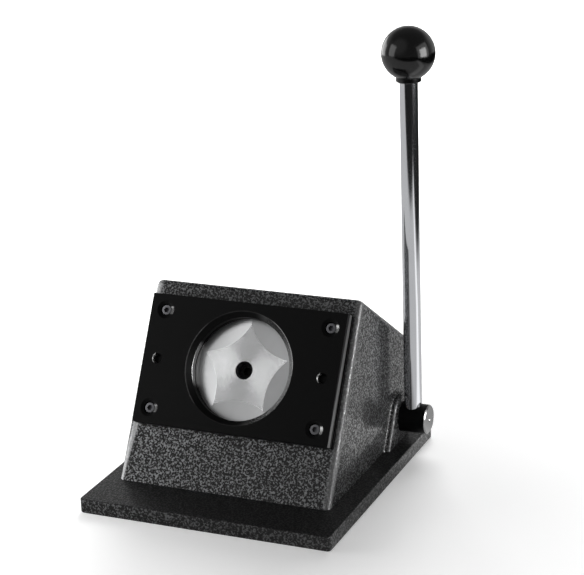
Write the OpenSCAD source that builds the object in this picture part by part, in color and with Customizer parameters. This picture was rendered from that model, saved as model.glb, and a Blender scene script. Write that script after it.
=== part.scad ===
// Desk cutter for round badge papers: a wedge casting on a base plate, a die plate with a round window,
// a punch on a sprung ram, and a hand lever whose cam pushes the ram. Millimetres. The origin is the
// centre of the base plate's underside, X to the right, Y to the back, Z up. The lever stands upright.

/* [What to draw] */
// Sub-part to draw, or all of them

/* [Cut] */
// Diameter of the disc that is cut
cut_d = 54; // [35:0.5:60]
// Radial gap between the punch and the die
cut_clear = 0.03; // [0.02:0.01:0.08]
// Travel of the punch from rest to the end of the pull
stroke = 4.2; // [3.6:0.1:5]
// Turn of the lever from upright to the end of the pull, in degrees
swing = 75; // [60:1:80]

/* [Base plate] */
// Width of the base plate
base_w = 139; // [130:0.5:170]
// Depth of the base plate
base_d = 152; // [148:0.5:180]
// Thickness of the base plate
base_t = 8; // [6:0.5:12]
// Diameter of the screws from below
base_screw_d = 6; // [5:0.5:8]
// How deep the screws from below go into the casting
base_screw_in = 11; // [8:0.5:14]
// Diameter of the casting's bosses for the screws from below
base_boss_d = 14; // [12:0.5:16]
// Distance from the casting's foot back to the front screws
base_screw_back = 20; // [18:0.5:30]

/* [Housing] */
// Width of the casting
body_w = 116; // [112:0.5:130]
// How much further the casting's left wall stands out at its foot than the right one
left_foot = 3; // [0:0.2:3]
// How much further the casting's left wall stands out at the ridge than the right one
left_ridge = 1.2; // [0:0.2:3]
// Depth of base plate left free in front of the casting
front_margin = 28; // [24:0.5:36]
// Depth of base plate left free behind the casting
rear_margin = 4; // [2:0.5:10]
// Lean of the front face from upright, in degrees
lean = 29; // [25:0.5:34]
// Length of the front face from foot to ridge
face_len = 108.5; // [104:0.5:120]
// Fall of the rear slope below level, in degrees
rear_fall = 33; // [28:0.5:36]
// Thickness of the casting's walls
wall = 8; // [6:0.5:9]
// Radius of the casting's outer edges
edge_r = 3; // [1:0.5:4]
// Radius of the bearing lug's round top
lug_r = 13.5; // [12.5:0.5:16]
// How far the bearing lug stands out of the side wall
lug_t = 3.25; // [2.5:0.25:6]
// Thickness of the lug's lip that covers the bush from outside
lip_t = 2; // [1:0.25:3]
// Thickness of the wall round the punch's well
well_wall = 6; // [4:0.5:8]
// Thickness of the well's floor
well_floor_t = 4; // [3:0.5:5]
// Gap between the punch and the wall of its well
well_gap = 1.5; // [0.5:0.1:2]
// Thickness of the casting's inner ribs
rib_t = 6; // [4:0.5:8]

/* [Die set] */
// Width of the die plate
plate_w = 110; // [104:0.5:111]
// Height of the die plate along the slope
plate_h = 68.6; // [66:0.2:76]
// Distance from the casting's foot to the die plate's lower edge
plate_up = 30.6; // [26:0.2:34]
// Thickness of the guide plate
guide_t = 2; // [1.5:0.25:4]
// Thickness of the paper slot
slot_t = 1.25; // [0.8:0.05:2]
// Thickness of the die plate
die_t = 6; // [5.5:0.25:8]
// Size of the window's 45 degree chamfer
chamfer = 2.8; // [0.5:0.1:3]
// Width of the spacer strips
spacer_w = 11; // [9.5:0.5:13]
// How far the spacer strips stand back from the plate's edge
spacer_in = 1.2; // [0:0.1:2]
// Screws and pins in from the plate's side edges
screw_in_x = 8.5; // [6.5:0.5:10]
// Screws in from the plate's upper and lower edges
screw_in_s = 8.3; // [6:0.1:12]
// Diameter of the die plate's screws
screw_d = 3; // [2.5:0.5:4]
// Diameter of those screws' heads
screw_head_d = 5.5; // [4.5:0.5:7]
// Diameter of the counterbores for those heads
screw_bore_d = 6.8; // [5.5:0.1:8]
// Size of the 45 degree chamfer at the counterbores' mouths
screw_mouth = 1.8; // [0.3:0.1:2]
// How far the screw heads lie below the die plate's face
screw_sink = 1.2; // [0.2:0.1:2]
// Diameter of the dowel pins
dowel_d = 5; // [4:0.5:6]
// How far the dowel pins lie below the die plate's face
dowel_sink = 3; // [0.2:0.1:3.5]

/* [Punch and ram] */
// Thickness of the punch
punch_t = 14; // [10:0.5:16]
// How far the punch's face lies behind the guide plate's face at rest
rest_back = 0.55; // [0.3:0.05:1]
// Distance from the punch's axis at which its ground flanks start, as a share of its radius
star_in = 0.585; // [0.5:0.005:0.7]
// Slope of the ground flanks, in degrees
star_slope = 5; // [2:0.5:7]
// Radius of the wheel that ground the flanks
star_wheel = 315; // [200:5:500]
// Diameter of the punch's centre hole
punch_hole_d = 9.6; // [9:0.1:11]
// Diameter of the screw that holds the punch
punch_screw_d = 5; // [4:0.5:6]
// How deep the punch's screw goes into the ram
punch_screw_in = 12; // [8:0.5:16]
// Thickness of the punch below its screw's head
punch_seat_t = 4; // [3:0.5:6]
// Diameter of the ram
ram_d = 18; // [16:0.5:20]
// Wall of the bronze bushes
bush_wall = 3; // [2:0.25:4]
// How far the rim of the ram's bush stands out
bush_rim = 5; // [4:0.25:6]
// Thickness of the rim of the ram's bush
bush_rim_t = 3; // [2:0.25:4]
// Diameter of the ram's front flange
ram_flange_d = 40; // [34:1:48]
// Thickness of the ram's front flange
ram_flange_t = 8; // [6:0.5:10]
// Thickness of the return spring's wire
wire_d = 2.2; // [1.6:0.1:2.5]
// Turns of the return spring
spring_turns = 5; // [4:1:6]
// Space left between the spring's turns, in all, at the end of the pull
spring_spare = 4.8; // [2:0.1:6]
// Gap between the spring and the ram
spring_gap = 0.8; // [0.4:0.1:1.5]
// Thickness of the ring that the spring pushes on
collar_t = 5; // [3:0.5:6]
// How far that ring stands out of the ram
collar_out = 5; // [4:0.25:6]
// Thickness of the retaining rings and their grooves
clip_t = 1.2; // [1:0.1:1.5]
// How far a retaining ring stands out of the bar it is on
clip_out = 2; // [1.5:0.25:3]
// Depth of the retaining rings' grooves
groove = 0.6; // [0.4:0.1:1]

/* [Shaft and lever] */
// Distance from the casting's rear face forward to the shaft axis
shaft_in = 19.6; // [19.4:0.2:24]
// Height of the shaft axis above the base plate
shaft_up = 12.3; // [12.2:0.1:15]
// Diameter of the shaft
shaft_d = 16; // [14:0.5:17]
// How far the shaft stands out of the right lug
shaft_out = 15.1; // [12:0.1:20]
// Size of the chamfer on the shaft's right end
shaft_chamfer = 0.8; // [0.2:0.1:1.5]
// Diameter of the centre mark in the shaft's right end
centre_d = 3; // [1:0.5:4]
// Distance from the shaft axis to the cam's rest flat
cam_low = 12; // [11.5:0.1:12.5]
// Width of the cam
cam_w = 20; // [14:1:30]
// How far the cam's rest flat reaches past the shaft axis
cam_heel = 4; // [2:0.5:4]
// Turn of the cam's curve past the end of the pull, in degrees
cam_over = 7.5; // [5:2.5:10]
// Thickness of the shaft's thrust washers
washer_t = 1; // [0.8:0.1:2]
// How far the thrust washers stand out of the shaft
washer_out = 3; // [2.5:0.5:5]
// Distance from the right lug's face to the lever rod's axis
rod_out = 5.9; // [5.5:0.1:10]
// Diameter of the lever rod
rod_d = 9.6; // [8:0.1:10]
// How deep the lever rod's shoulder sinks into the shaft
rod_sink = 2.5; // [1:0.25:4]
// Step from the lever rod to its threads
thread_step = 0.6; // [0.4:0.1:1]
// Distance from the shaft axis to the ball's centre
lever_len = 200.6; // [160:0.2:240]
// Diameter of the ball
ball_d = 28; // [22:0.5:35]
// Diameter of the ball's neck
neck_d = 13.2; // [11:0.1:16]
// How far the neck stands below the ball
neck_drop = 0.7; // [0.5:0.1:3]
// Wall of the neck round the threaded insert
neck_wall = 1.2; // [0.8:0.1:2]
// How far the threaded insert reaches above the ball's centre
insert_up = 2; // [0:0.5:4]

/* [Clearances] */
// Radial gap of a running fit
run_gap = 0.03; // [0.01:0.01:0.1]
// Radial gap round pins and bushes that are fixed in place
seat_gap = 0.02; // [0.01:0.01:0.05]
// Gap between pieces that pass or turn beside each other
pass_gap = 0.3; // [0.1:0.05:0.6]
// Gap between the cam and the ram's tail
lift_gap = 0.04; // [0.02:0.01:0.1]
// Radial gap of a screw in a hole without thread
hole_gap = 0.25; // [0.1:0.05:0.5]

/* [Hidden] */
$fn = 64;

// Side view of the casting as [y, z] points and directions
foot = [-base_d / 2 + front_margin, base_t];
up = [sin(lean), cos(lean)];
out = [-cos(lean), sin(lean)];
ridge = foot + up * face_len;
fall = [cos(rear_fall), -sin(rear_fall)];
roof_out = [sin(rear_fall), cos(rear_fall)];
rear_y = base_d / 2 - rear_margin;
level = [0, 1];

// Heights on the front face: s runs up the slope from the foot, n runs out of the face
win_s = plate_up + plate_h / 2;
die_d = cut_d + 2 * cut_clear;
screw_x = plate_w / 2 - screw_in_x;
screw_s = plate_h / 2 - screw_in_s;
mouth_d = screw_bore_d + 2 * screw_mouth;
die_n = guide_t + slot_t;
front_n = die_n + die_t;
punch_n = guide_t - rest_back;
punch_back = punch_n - punch_t;
flange_back = punch_back - ram_flange_t;
well_floor = flange_back - pass_gap;
well_d = cut_d + 2 * well_gap;
well_wall_d = well_d + 2 * well_wall;
bush_d = ram_d + 2 * bush_wall;
boss_d = bush_d + 3 * well_wall;

// Shaft axis on the side view and in the front face's frame
shaft_y = rear_y - shaft_in;
shaft_z = base_t + shaft_up;
shaft_p = [shaft_y, shaft_z] - foot;
shaft_n = shaft_p * out;
tail_n = shaft_n + cam_low + lift_gap;
clip_n = tail_n + 2 * clip_t;
collar_n = clip_n + clip_t;
spring_lo = collar_n + collar_t;
spring_len = spring_turns * wire_d + stroke + spring_spare;
seat_n = spring_lo + spring_len;
boss_back = seat_n + bush_rim_t;
lift_rate = stroke / (swing * PI / 180);

// Shaft and lever
lug_x = body_w / 2 + lug_t;
left_most = lug_t - 0.25;
shaft_bush_d = shaft_d + 2 * bush_wall;
shaft_right = lug_x + shaft_out;
shaft_left = -lug_x - pass_gap - washer_t - 2 * clip_t;
washer_left = -lug_x - pass_gap - washer_t;
clip_left = washer_left - clip_t;
washer_right = body_w / 2 - wall - pass_gap - washer_t;
clip_right = washer_right - clip_t;
rod_x = lug_x + rod_out;
rod_foot = shaft_d / 2 - rod_sink;
thread_d = rod_d - 2 * thread_step;
ball_z = shaft_z + lever_len;
neck_z = ball_z - ball_d / 2 - neck_drop;
insert_d = neck_d - 2 * neck_wall;
sink_d = 2.1 * base_screw_d;
shank_d = base_screw_d - 2 * seat_gap;
insert_top = ball_z + insert_up;
boss_x = body_w / 2 - wall - base_boss_d / 3;
boss_y = [foot[0] + base_screw_back, shaft_y - shaft_d / 2 - base_boss_d];

// Where the line from p along d meets the line from q along e
function meet(p, d, q, e) = p + d * cross(q - p, e) / cross(d, e);

// Corners of the side view moved inwards by t
function inner_ridge(t) = meet(foot - out * t, up, ridge - roof_out * t, fall);
function inner_rear(t) = meet(ridge - roof_out * t, fall, [rear_y - t, 0], level);
function inner_foot(t, z) = meet(foot - out * t, up, [0, z], [1, 0]);

// Point of the cam's curve at the angle a back from the push: a circle's involute lifts evenly
function cam_point(a) =
    let (h = cam_low + lift_rate * a * PI / 180)
    [h * sin(a) + lift_rate * cos(a), h * cos(a) - lift_rate * sin(a)];

// Half outline of the shaft: two ring grooves, a chamfered right end and its centre mark
function shaft_outline() =
    let (r = shaft_d / 2, g = shaft_d / 2 - groove)
    [[0, shaft_left], [r, shaft_left], [r, clip_left], [g, clip_left], [g, washer_left], [r, washer_left],
        [r, clip_right], [g, clip_right], [g, washer_right], [r, washer_right],
        [r, shaft_right - shaft_chamfer], [r - shaft_chamfer, shaft_right],
        [centre_d / 2, shaft_right], [0, shaft_right - centre_d / 2]];

// Puts a drawing made in the front face's frame (x, s, n) into place
module on_face() {
    translate([0, foot[0], foot[1]])
        rotate([90 - lean, 0, 0])
            children();
}

// The same, about the punch's axis
module on_punch() {
    on_face()
        translate([0, win_s, 0])
            children();
}

// Puts a drawing into place about the shaft's axis, in the front face's directions
module on_shaft() {
    translate([0, shaft_y, shaft_z])
        rotate([90 - lean, 0, 0])
            children();
}

// Round bar along X from x0 to x1
module bar_x(d, x0, x1) {
    translate([x0, 0, 0])
        rotate([0, 90, 0])
            cylinder(d = d, h = x1 - x0);
}

// Round bar along Z from z0 to z1
module bar(d, z0, z1) {
    translate([0, 0, z0])
        cylinder(d = d, h = z1 - z0);
}

// Ring along Z
module ring(d_in, d_out, z0, z1) {
    difference() {
        bar(d_out, z0, z1);
        bar(d_in, z0 - 1, z1 + 1);
    }
}

// Side view given as [y, z] points, drawn out across the part from x0 to x1
module side_slab(points, x0, x1) {
    translate([x0, 0, 0])
        rotate([90, 0, 90])
            linear_extrude(height = x1 - x0)
                polygon(points);
}

// Socket head screw along Z: the head's top at z = 0, the shank below
module socket_screw(d, head_d, shank) {
    difference() {
        union() {
            bar(head_d, -d, 0);
            bar(d, -d - shank, -d + 0.01);
        }
        translate([0, 0, -d * 0.55])
            cylinder(d = d * 0.95, h = d, $fn = 6);
    }
}

// Plate outline of the die set from n0 to n1
module plate(n0, n1) {
    translate([-plate_w / 2, -plate_h / 2, n0])
        cube([plate_w, plate_h, n1 - n0]);
}

// Calls for every die plate screw
module at_screws() {
    for (x = [-1, 1], s = [-1, 1])
        translate([x * screw_x, s * screw_s, 0])
            children();
}

// Calls for every dowel pin
module at_dowels() {
    for (x = [-1, 1])
        translate([x * screw_x, 0, 0])
            children();
}

// Calls for every base plate screw
module at_base_screws() {
    for (x = [-1, 1], y = boss_y)
        translate([x * boss_x, y, 0])
            children();
}

// Flat strip of the paper slot, on the left for side = -1 and on the right for side = 1
module spacer(side) {
    on_punch()
        difference() {
            translate([side * (plate_w / 2 - spacer_in - spacer_w / 2) - spacer_w / 2, -plate_h / 2, guide_t])
                cube([spacer_w, plate_h, slot_t]);
            at_screws()
                bar(screw_d + 2 * hole_gap, 0, front_n);
            at_dowels()
                bar(dowel_d + 2 * seat_gap, 0, front_n);
        }
}

// Retaining ring on a bar, open on one side
module clip(bar_d, z0) {
    difference() {
        ring(bar_d - 2 * groove + 2 * seat_gap, bar_d + 2 * clip_out, z0, z0 + clip_t);
        translate([0, 0, z0 - 1])
            rotate([0, 0, 45])
                cube([bar_d, bar_d, clip_t + 2]);
    }
}

// Groove for such a ring, to be cut out of the bar
module clip_groove(bar_d, z0) {
    ring(bar_d - 2 * groove, bar_d + 2 * clip_out, z0, z0 + clip_t);
}

module base_plate() {
    color([0.10, 0.10, 0.11])
        difference() {
            translate([-base_w / 2, -base_d / 2, 0])
                cube([base_w, base_d, base_t]);
            at_base_screws() {
                bar(base_screw_d + 2 * hole_gap, -1, base_t + 1);
                translate([0, 0, -0.01])
                    cylinder(d1 = sink_d + 2 * seat_gap, d2 = base_screw_d + 2 * hole_gap,
                        h = (sink_d + 2 * seat_gap - base_screw_d) / 2 - hole_gap);
            }
        }
}

module base_screws() {
    color([0.14, 0.14, 0.15])
        at_base_screws()
            difference() {
                union() {
                    translate([0, 0, 0.4])
                        cylinder(d1 = sink_d - 0.8, d2 = shank_d, h = (sink_d - 0.8 - shank_d) / 2);
                    bar(shank_d, 0.5 + (sink_d - 0.8 - shank_d) / 4, base_t + base_screw_in);
                }
                translate([0, 0, -0.1])
                    cylinder(d = base_screw_d * 0.62, h = base_screw_d * 0.4, $fn = 6);
            }
}

// How far the left wall stands out at a height, always less than its lug
function left_out(z) = min(left_foot, left_most) + (min(left_ridge, left_most) - min(left_foot, left_most))
    * (z - base_t) / (ridge[1] - base_t);

// The casting's outside, still solid
module casting() {
    intersection() {
        hull()
            for (x = [-1, 1], p = [inner_foot(edge_r, base_t - 5), inner_ridge(edge_r), inner_rear(edge_r),
                    [rear_y - edge_r, base_t - 5]])
                translate([x * (body_w / 2 - edge_r) - (x < 0 ? left_out(p[1]) : 0), p[0], p[1]])
                    sphere(r = edge_r, $fn = 32);
        translate([-body_w, -base_d, base_t])
            cube([2 * body_w, 2 * base_d, 2 * face_len]);
    }
}

// Bearing lugs on both side walls, leaning like the front face
module lugs() {
    intersection() {
        on_shaft()
            union() {
                bar_x(2 * lug_r, -lug_x, lug_x);
                translate([-lug_x, -4 * lug_r, -lug_r])
                    cube([2 * lug_x, 4 * lug_r, 2 * lug_r]);
            }
        translate([-body_w, -base_d, base_t])
            cube([2 * body_w, 2 * base_d, base_d]);
    }
}

// The casting's inside, open below
module cavity() {
    floor_z = base_t - 1;
    side_slab([inner_foot(wall, floor_z), inner_ridge(wall), inner_rear(wall), [rear_y - wall, floor_z]],
        -body_w / 2 + wall, body_w / 2 - wall);
}

// Cup behind the front face for the punch, with the boss for the ram's bush and its side ribs
module punch_well() {
    on_punch() {
        bar(well_wall_d, well_floor - well_floor_t, -1);
        bar(boss_d, boss_back, well_floor);
        translate([-body_w / 2 + 1, -rib_t / 2, boss_back + rib_t])
            cube([body_w - 2, rib_t, -boss_back - 2 * rib_t]);
    }
}

module housing() {
    color([0.16, 0.16, 0.17])
        difference() {
            union() {
                difference() {
                    union() {
                        casting();
                        lugs();
                    }
                    cavity();
                }
                punch_well();
                intersection() {
                    casting();
                    at_base_screws()
                        bar(base_boss_d, base_t, base_t + base_screw_in + 4);
                }
            }
            on_punch() {
                bar(well_d, well_floor, 5);
                bar(bush_d + 2 * seat_gap, boss_back - 1, 0);
                at_screws()
                    bar(screw_d + 2 * seat_gap, -wall + 0.5, 1);
                at_dowels()
                    bar(dowel_d + 2 * seat_gap, -wall + 0.5, 1);
            }
            translate([0, shaft_y, shaft_z]) {
                bar_x(shaft_bush_d + 2 * seat_gap, -lug_x + lip_t, lug_x - lip_t);
                bar_x(shaft_d + 2 * pass_gap, -lug_x - 1, lug_x + 1);
            }
            at_base_screws()
                bar(base_screw_d, base_t - 1, base_t + base_screw_in + 1);
        }
}

module guide_plate() {
    color([0.13, 0.13, 0.14])
        on_punch()
            difference() {
                plate(0, guide_t);
                bar(cut_d + 4 * cut_clear, -1, guide_t + 1);
                at_screws()
                    bar(screw_d + 2 * hole_gap, -1, front_n);
                at_dowels()
                    bar(dowel_d + 2 * seat_gap, -1, front_n);
            }
}

module spacer_left() {
    color([0.15, 0.15, 0.16])
        spacer(-1);
}

module spacer_right() {
    color([0.15, 0.15, 0.16])
        spacer(1);
}

module die_plate() {
    color([0.06, 0.06, 0.065])
        on_punch()
            difference() {
                plate(die_n, front_n);
                bar(die_d, die_n - 1, front_n + 1);
                translate([0, 0, front_n - chamfer])
                    cylinder(d1 = die_d, d2 = die_d + 2 * chamfer + 0.02, h = chamfer + 0.01);
                at_screws() {
                    bar(screw_d + 2 * hole_gap, die_n - 1, front_n);
                    bar(screw_bore_d, front_n - screw_sink - screw_d, front_n + 1);
                    translate([0, 0, front_n - screw_mouth])
                        cylinder(d1 = screw_bore_d, d2 = mouth_d + 0.02, h = screw_mouth + 0.01);
                }
                at_dowels()
                    bar(dowel_d + 2 * seat_gap, die_n - 1, front_n + 1);
            }
}

module die_screws() {
    color([0.12, 0.12, 0.13])
        on_punch()
            at_screws()
                translate([0, 0, front_n - screw_sink])
                    socket_screw(screw_d, screw_head_d, front_n - screw_sink - screw_d + wall - 1);
}

module dowel_pins() {
    color([0.55, 0.55, 0.57])
        on_punch()
            at_dowels()
                bar(dowel_d, -wall + 1, front_n - dowel_sink);
}

module punch() {
    color([0.72, 0.72, 0.73])
        on_punch()
            difference() {
                bar(cut_d, punch_back, punch_n);
                for (i = [0 : 4])
                    rotate([0, 0, 54 + 72 * i])
                        translate([star_in * cut_d / 2, 0, punch_n])
                            rotate([0, star_slope, 0])
                                translate([-cut_d, 0, star_wheel])
                                    rotate([0, 90, 0])
                                        cylinder(r = star_wheel, h = 2 * cut_d, $fn = 720);
                bar(punch_hole_d, punch_back + punch_seat_t, punch_n + 1);
                bar(punch_screw_d + 2 * hole_gap, punch_back - 1, punch_n);
            }
}

module punch_screw() {
    color([0.08, 0.08, 0.085])
        on_punch()
            translate([0, 0, punch_back + punch_seat_t + punch_screw_d])
                socket_screw(punch_screw_d, 1.7 * punch_screw_d, punch_seat_t + punch_screw_in);
}

module ram() {
    color([0.62, 0.62, 0.64])
        on_punch()
            difference() {
                union() {
                    bar(ram_flange_d, flange_back, punch_back);
                    bar(ram_d, tail_n, punch_back);
                }
                bar(punch_screw_d + 2 * seat_gap, punch_back - punch_screw_in - 1, punch_back + 1);
                clip_groove(ram_d, clip_n);
            }
}

module ram_bush() {
    color([0.72, 0.53, 0.28])
        on_punch()
            difference() {
                union() {
                    bar(bush_d, boss_back, well_floor - pass_gap);
                    bar(bush_d + 2 * bush_rim, seat_n, boss_back);
                }
                bar(ram_d + 2 * run_gap, seat_n - 1, 0);
            }
}

module return_spring() {
    spring_r = (ram_d + wire_d) / 2 + spring_gap;
    ends = 2 * seat_gap;
    pitch = (spring_len - wire_d - 2 * ends) / spring_turns;
    per_turn = 28;
    sides = 10;
    steps = per_turn * spring_turns;
    points = [for (i = [0 : steps], j = [0 : sides - 1])
        let (a = 360 * i / per_turn, b = 360 * j / sides, r = spring_r + wire_d / 2 * cos(b))
        [r * cos(a), r * sin(a), spring_lo + ends + wire_d / 2 + pitch * i / per_turn + wire_d / 2 * sin(b)]];
    quads = [for (i = [0 : steps - 1], j = [0 : sides - 1])
        [i * sides + j, i * sides + (j + 1) % sides, (i + 1) * sides + (j + 1) % sides, (i + 1) * sides + j]];
    caps = [[for (j = [sides - 1 : -1 : 0]) j], [for (j = [0 : sides - 1]) steps * sides + j]];
    echo(str("least gap between the spring's turns: ", pitch - wire_d, " mm"));
    color([0.50, 0.50, 0.52])
        on_punch()
            polyhedron(points = points, faces = concat(quads, caps), convexity = 10);
}

module spring_collar() {
    color([0.45, 0.45, 0.47])
        on_punch()
            ring(ram_d + 2 * seat_gap, ram_d + 2 * collar_out, collar_n, collar_n + collar_t);
}

module ram_clip() {
    color([0.20, 0.20, 0.21])
        on_punch()
            clip(ram_d, clip_n);
}

module cam_shaft() {
    color([0.07, 0.07, 0.075])
        difference() {
            translate([0, shaft_y, shaft_z])
                rotate([0, 90, 0])
                    rotate_extrude()
                        polygon(shaft_outline());
            translate([rod_x, shaft_y, shaft_z]) {
                bar(rod_d + 2 * seat_gap, rod_foot, shaft_d);
                bar(thread_d + 2 * seat_gap, -shaft_d, shaft_d);
            }
            on_shaft()
                rotate([90, 0, 0])
                    bar(dowel_d + 2 * seat_gap, -cam_low + 1, cam_low);
        }
}

module cam() {
    color([0.40, 0.40, 0.42])
        on_shaft()
            difference() {
                union() {
                    translate([-cam_w / 2, 0, 0])
                        rotate([90, 0, 90])
                            linear_extrude(height = cam_w)
                                polygon(concat([[-cam_heel, cam_low]],
                                    [for (a = [0 : 2.5 : swing + cam_over]) cam_point(a)],
                                    [[cam_low, -cam_heel], [0, -cam_heel / 2], [cam_heel - cam_low, 0]]));
                    bar_x(2 * cam_low - 2, -cam_w / 2, cam_w / 2);
                }
                bar_x(shaft_d + 2 * seat_gap, -cam_w, cam_w);
                rotate([90, 0, 0])
                    bar(dowel_d + 2 * seat_gap, -cam_low + 1, 2 * cam_low);
            }
}

module cam_pin() {
    color([0.55, 0.55, 0.57])
        on_shaft()
            rotate([90, 0, 0])
                bar(dowel_d, -cam_low + 1.2, cam_low - 1.5);
}

module bush_left() {
    color([0.72, 0.53, 0.28])
        translate([0, shaft_y, shaft_z])
            difference() {
                bar_x(shaft_bush_d, -lug_x + lip_t, -body_w / 2 + wall);
                bar_x(shaft_d + 2 * run_gap, -lug_x - 1, 0);
            }
}

module bush_right() {
    color([0.72, 0.53, 0.28])
        translate([0, shaft_y, shaft_z])
            difference() {
                bar_x(shaft_bush_d, body_w / 2 - wall, lug_x - lip_t);
                bar_x(shaft_d + 2 * run_gap, 0, lug_x + 1);
            }
}

module shaft_washers() {
    color([0.60, 0.60, 0.62])
        translate([0, shaft_y, shaft_z])
            rotate([0, 90, 0])
                for (x = [washer_left, washer_right])
                    ring(shaft_d + 2 * seat_gap, shaft_d + 2 * washer_out, x, x + washer_t);
}

module shaft_clips() {
    color([0.20, 0.20, 0.21])
        translate([0, shaft_y, shaft_z])
            rotate([0, 90, 0])
                for (x = [clip_left, clip_right])
                    clip(shaft_d, x);
}

module lever_rod() {
    color([0.78, 0.78, 0.80])
        translate([rod_x, shaft_y, shaft_z]) {
            bar(rod_d, rod_foot, neck_z - shaft_z);
            bar(thread_d, -shaft_d / 2 + 1, rod_foot + 0.01);
            bar(thread_d, neck_z - shaft_z - 0.01, insert_top - shaft_z - 2);
        }
}

module ball_knob() {
    color([0.03, 0.03, 0.03])
        translate([rod_x, shaft_y, 0])
            difference() {
                union() {
                    translate([0, 0, ball_z])
                        sphere(d = ball_d, $fn = 96);
                    bar(neck_d, neck_z, ball_z - ball_d / 4);
                }
                bar(insert_d + 2 * seat_gap, neck_z - 1, insert_top);
            }
}

module knob_insert() {
    color([0.75, 0.60, 0.28])
        translate([rod_x, shaft_y, 0])
            difference() {
                bar(insert_d, neck_z, insert_top);
                bar(thread_d + 2 * seat_gap, neck_z - 1, insert_top - 1.5);
            }
}

base_plate();
base_screws();
housing();
guide_plate();
spacer_left();
spacer_right();
die_plate();
die_screws();
dowel_pins();
punch();
punch_screw();
ram();
ram_bush();
return_spring();
spring_collar();
ram_clip();
cam_shaft();
cam();
cam_pin();
bush_left();
bush_right();
shaft_washers();
shaft_clips();
lever_rod();
ball_knob();
knob_insert();
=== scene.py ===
# %% [markdown]
# # A desk cutter for round badge papers
# The machine cuts a paper disc for a button badge: the paper goes into a slot behind the black plate, the
# ball lever comes forward, and a round punch rises through the paper into the window. The measured solids
# come from the part's own source. This lesson dresses them: it keeps every place and size, and gives the
# pieces that show soft edges, clean curves and finishes.

# %% Load the measured model
from math import acos, cos, pi, radians, sin, sqrt, tan

import bmesh
import bpy
from mathutils import Matrix, Vector


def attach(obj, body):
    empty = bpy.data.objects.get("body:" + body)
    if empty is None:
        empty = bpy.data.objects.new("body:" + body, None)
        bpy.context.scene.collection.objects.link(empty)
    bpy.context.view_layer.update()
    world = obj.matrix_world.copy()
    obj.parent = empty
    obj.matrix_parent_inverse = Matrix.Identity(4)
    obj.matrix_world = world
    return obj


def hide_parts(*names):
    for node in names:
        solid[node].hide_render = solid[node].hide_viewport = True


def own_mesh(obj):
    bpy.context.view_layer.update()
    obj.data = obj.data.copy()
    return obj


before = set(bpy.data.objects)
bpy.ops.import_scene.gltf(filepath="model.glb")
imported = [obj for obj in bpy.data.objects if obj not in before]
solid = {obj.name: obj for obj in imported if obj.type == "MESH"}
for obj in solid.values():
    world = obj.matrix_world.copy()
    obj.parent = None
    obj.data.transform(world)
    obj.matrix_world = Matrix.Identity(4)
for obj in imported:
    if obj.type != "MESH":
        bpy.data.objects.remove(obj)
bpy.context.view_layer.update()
scene = bpy.context.scene
scene.view_settings.view_transform = "Standard"

# %% [markdown]
# The front face leans back, and the die set, the punch and the ram all stand square to it. It is easiest to
# draw those pieces lying flat, in millimetres, with z out of the face, and to put them in place with one
# matrix. The same matrix idea serves the shaft, whose length runs along x. Each piece's place goes into its
# mesh, so its object stays at the origin, as the solids' objects do. Sizes that a shape shares with a finish
# stand here too.

# %% Places and shared sizes, in millimetres
MM = 0.001
LEAN = radians(29)
ACROSS = Vector((1, 0, 0))
UP_SLOPE = Vector((0, sin(LEAN), cos(LEAN)))
OUTWARD = Vector((0, -cos(LEAN), sin(LEAN)))
FOOT = Vector((0, -48, 8))
WINDOW = FOOT + 64.9 * UP_SLOPE
SHAFT = Vector((0, 52.4, 20.3))
ROD = SHAFT + Vector((67.15, 0, 0))
HALF_BODY = 58
LUG_OUT = 3.25
LUG_R = 13.5
HALF_PLATE = 55
SCREW_X = 46.5
SCREW_S = 26
BORE_R = 27.03
PUNCH_FACE = 1.45
SHAFT_END = 76.35


def square_to_face(point):
    turn = Matrix((ACROSS, UP_SLOPE, OUTWARD)).transposed().to_4x4()
    return Matrix.Scale(MM, 4) @ Matrix.Translation(point) @ turn


UPRIGHT = Matrix.Scale(MM, 4)
ON_WINDOW = square_to_face(WINDOW)
ON_SHAFT = UPRIGHT @ Matrix.Translation(SHAFT) @ Matrix.Rotation(pi / 2, 4, "Y")
ON_ROD = UPRIGHT @ Matrix.Translation((ROD.x, ROD.y, 0))


def at_face(x, s, z=0):
    return ON_WINDOW @ Matrix.Translation((x, s, z))


def under(x, y):
    return UPRIGHT @ Matrix.Translation((x, y, 0))


print("window centre", [round(v, 2) for v in WINDOW], "mm, shaft axis at", tuple(SHAFT), "mm")

# %% [markdown]
# The camera could be set by eye, but a fit is surer: corners, edges and circles were matched with the
# photograph by least squares, which gives a place, three directions and a focal length. The three directions
# are the columns of the camera's matrix.

# %% Camera at the photograph's viewing angle
lens = bpy.data.cameras.new("long_lens")
lens.sensor_width = 36
lens.lens = 118.81
camera = bpy.data.objects.new("photo_camera", lens)
scene.collection.objects.link(camera)
to_right = Vector((0.9199, 0.39074, -0.03333))
to_top = Vector((-0.09613, 0.30709, 0.94681))
to_viewer = to_right.cross(to_top)
camera.matrix_world = Matrix.Translation((0.39748, -0.85951, 0.42407)) @ Matrix(
    (to_right, to_top, to_viewer)
).transposed().to_4x4()
scene.camera = camera
print("camera", round(camera.location.length, 3), "m from the origin")

# %% [markdown]
# A finish is a small sum of patterns. Written as nodes one by one, such sums are hard to read, so one class
# wraps a node's socket: adding or multiplying two of them adds a Math node, and every other node comes from
# `make`, which sets the node's choices first and then its sockets. A few short words for places, such as
# `along` and `apart`, let a mask be written as it is measured.


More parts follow.
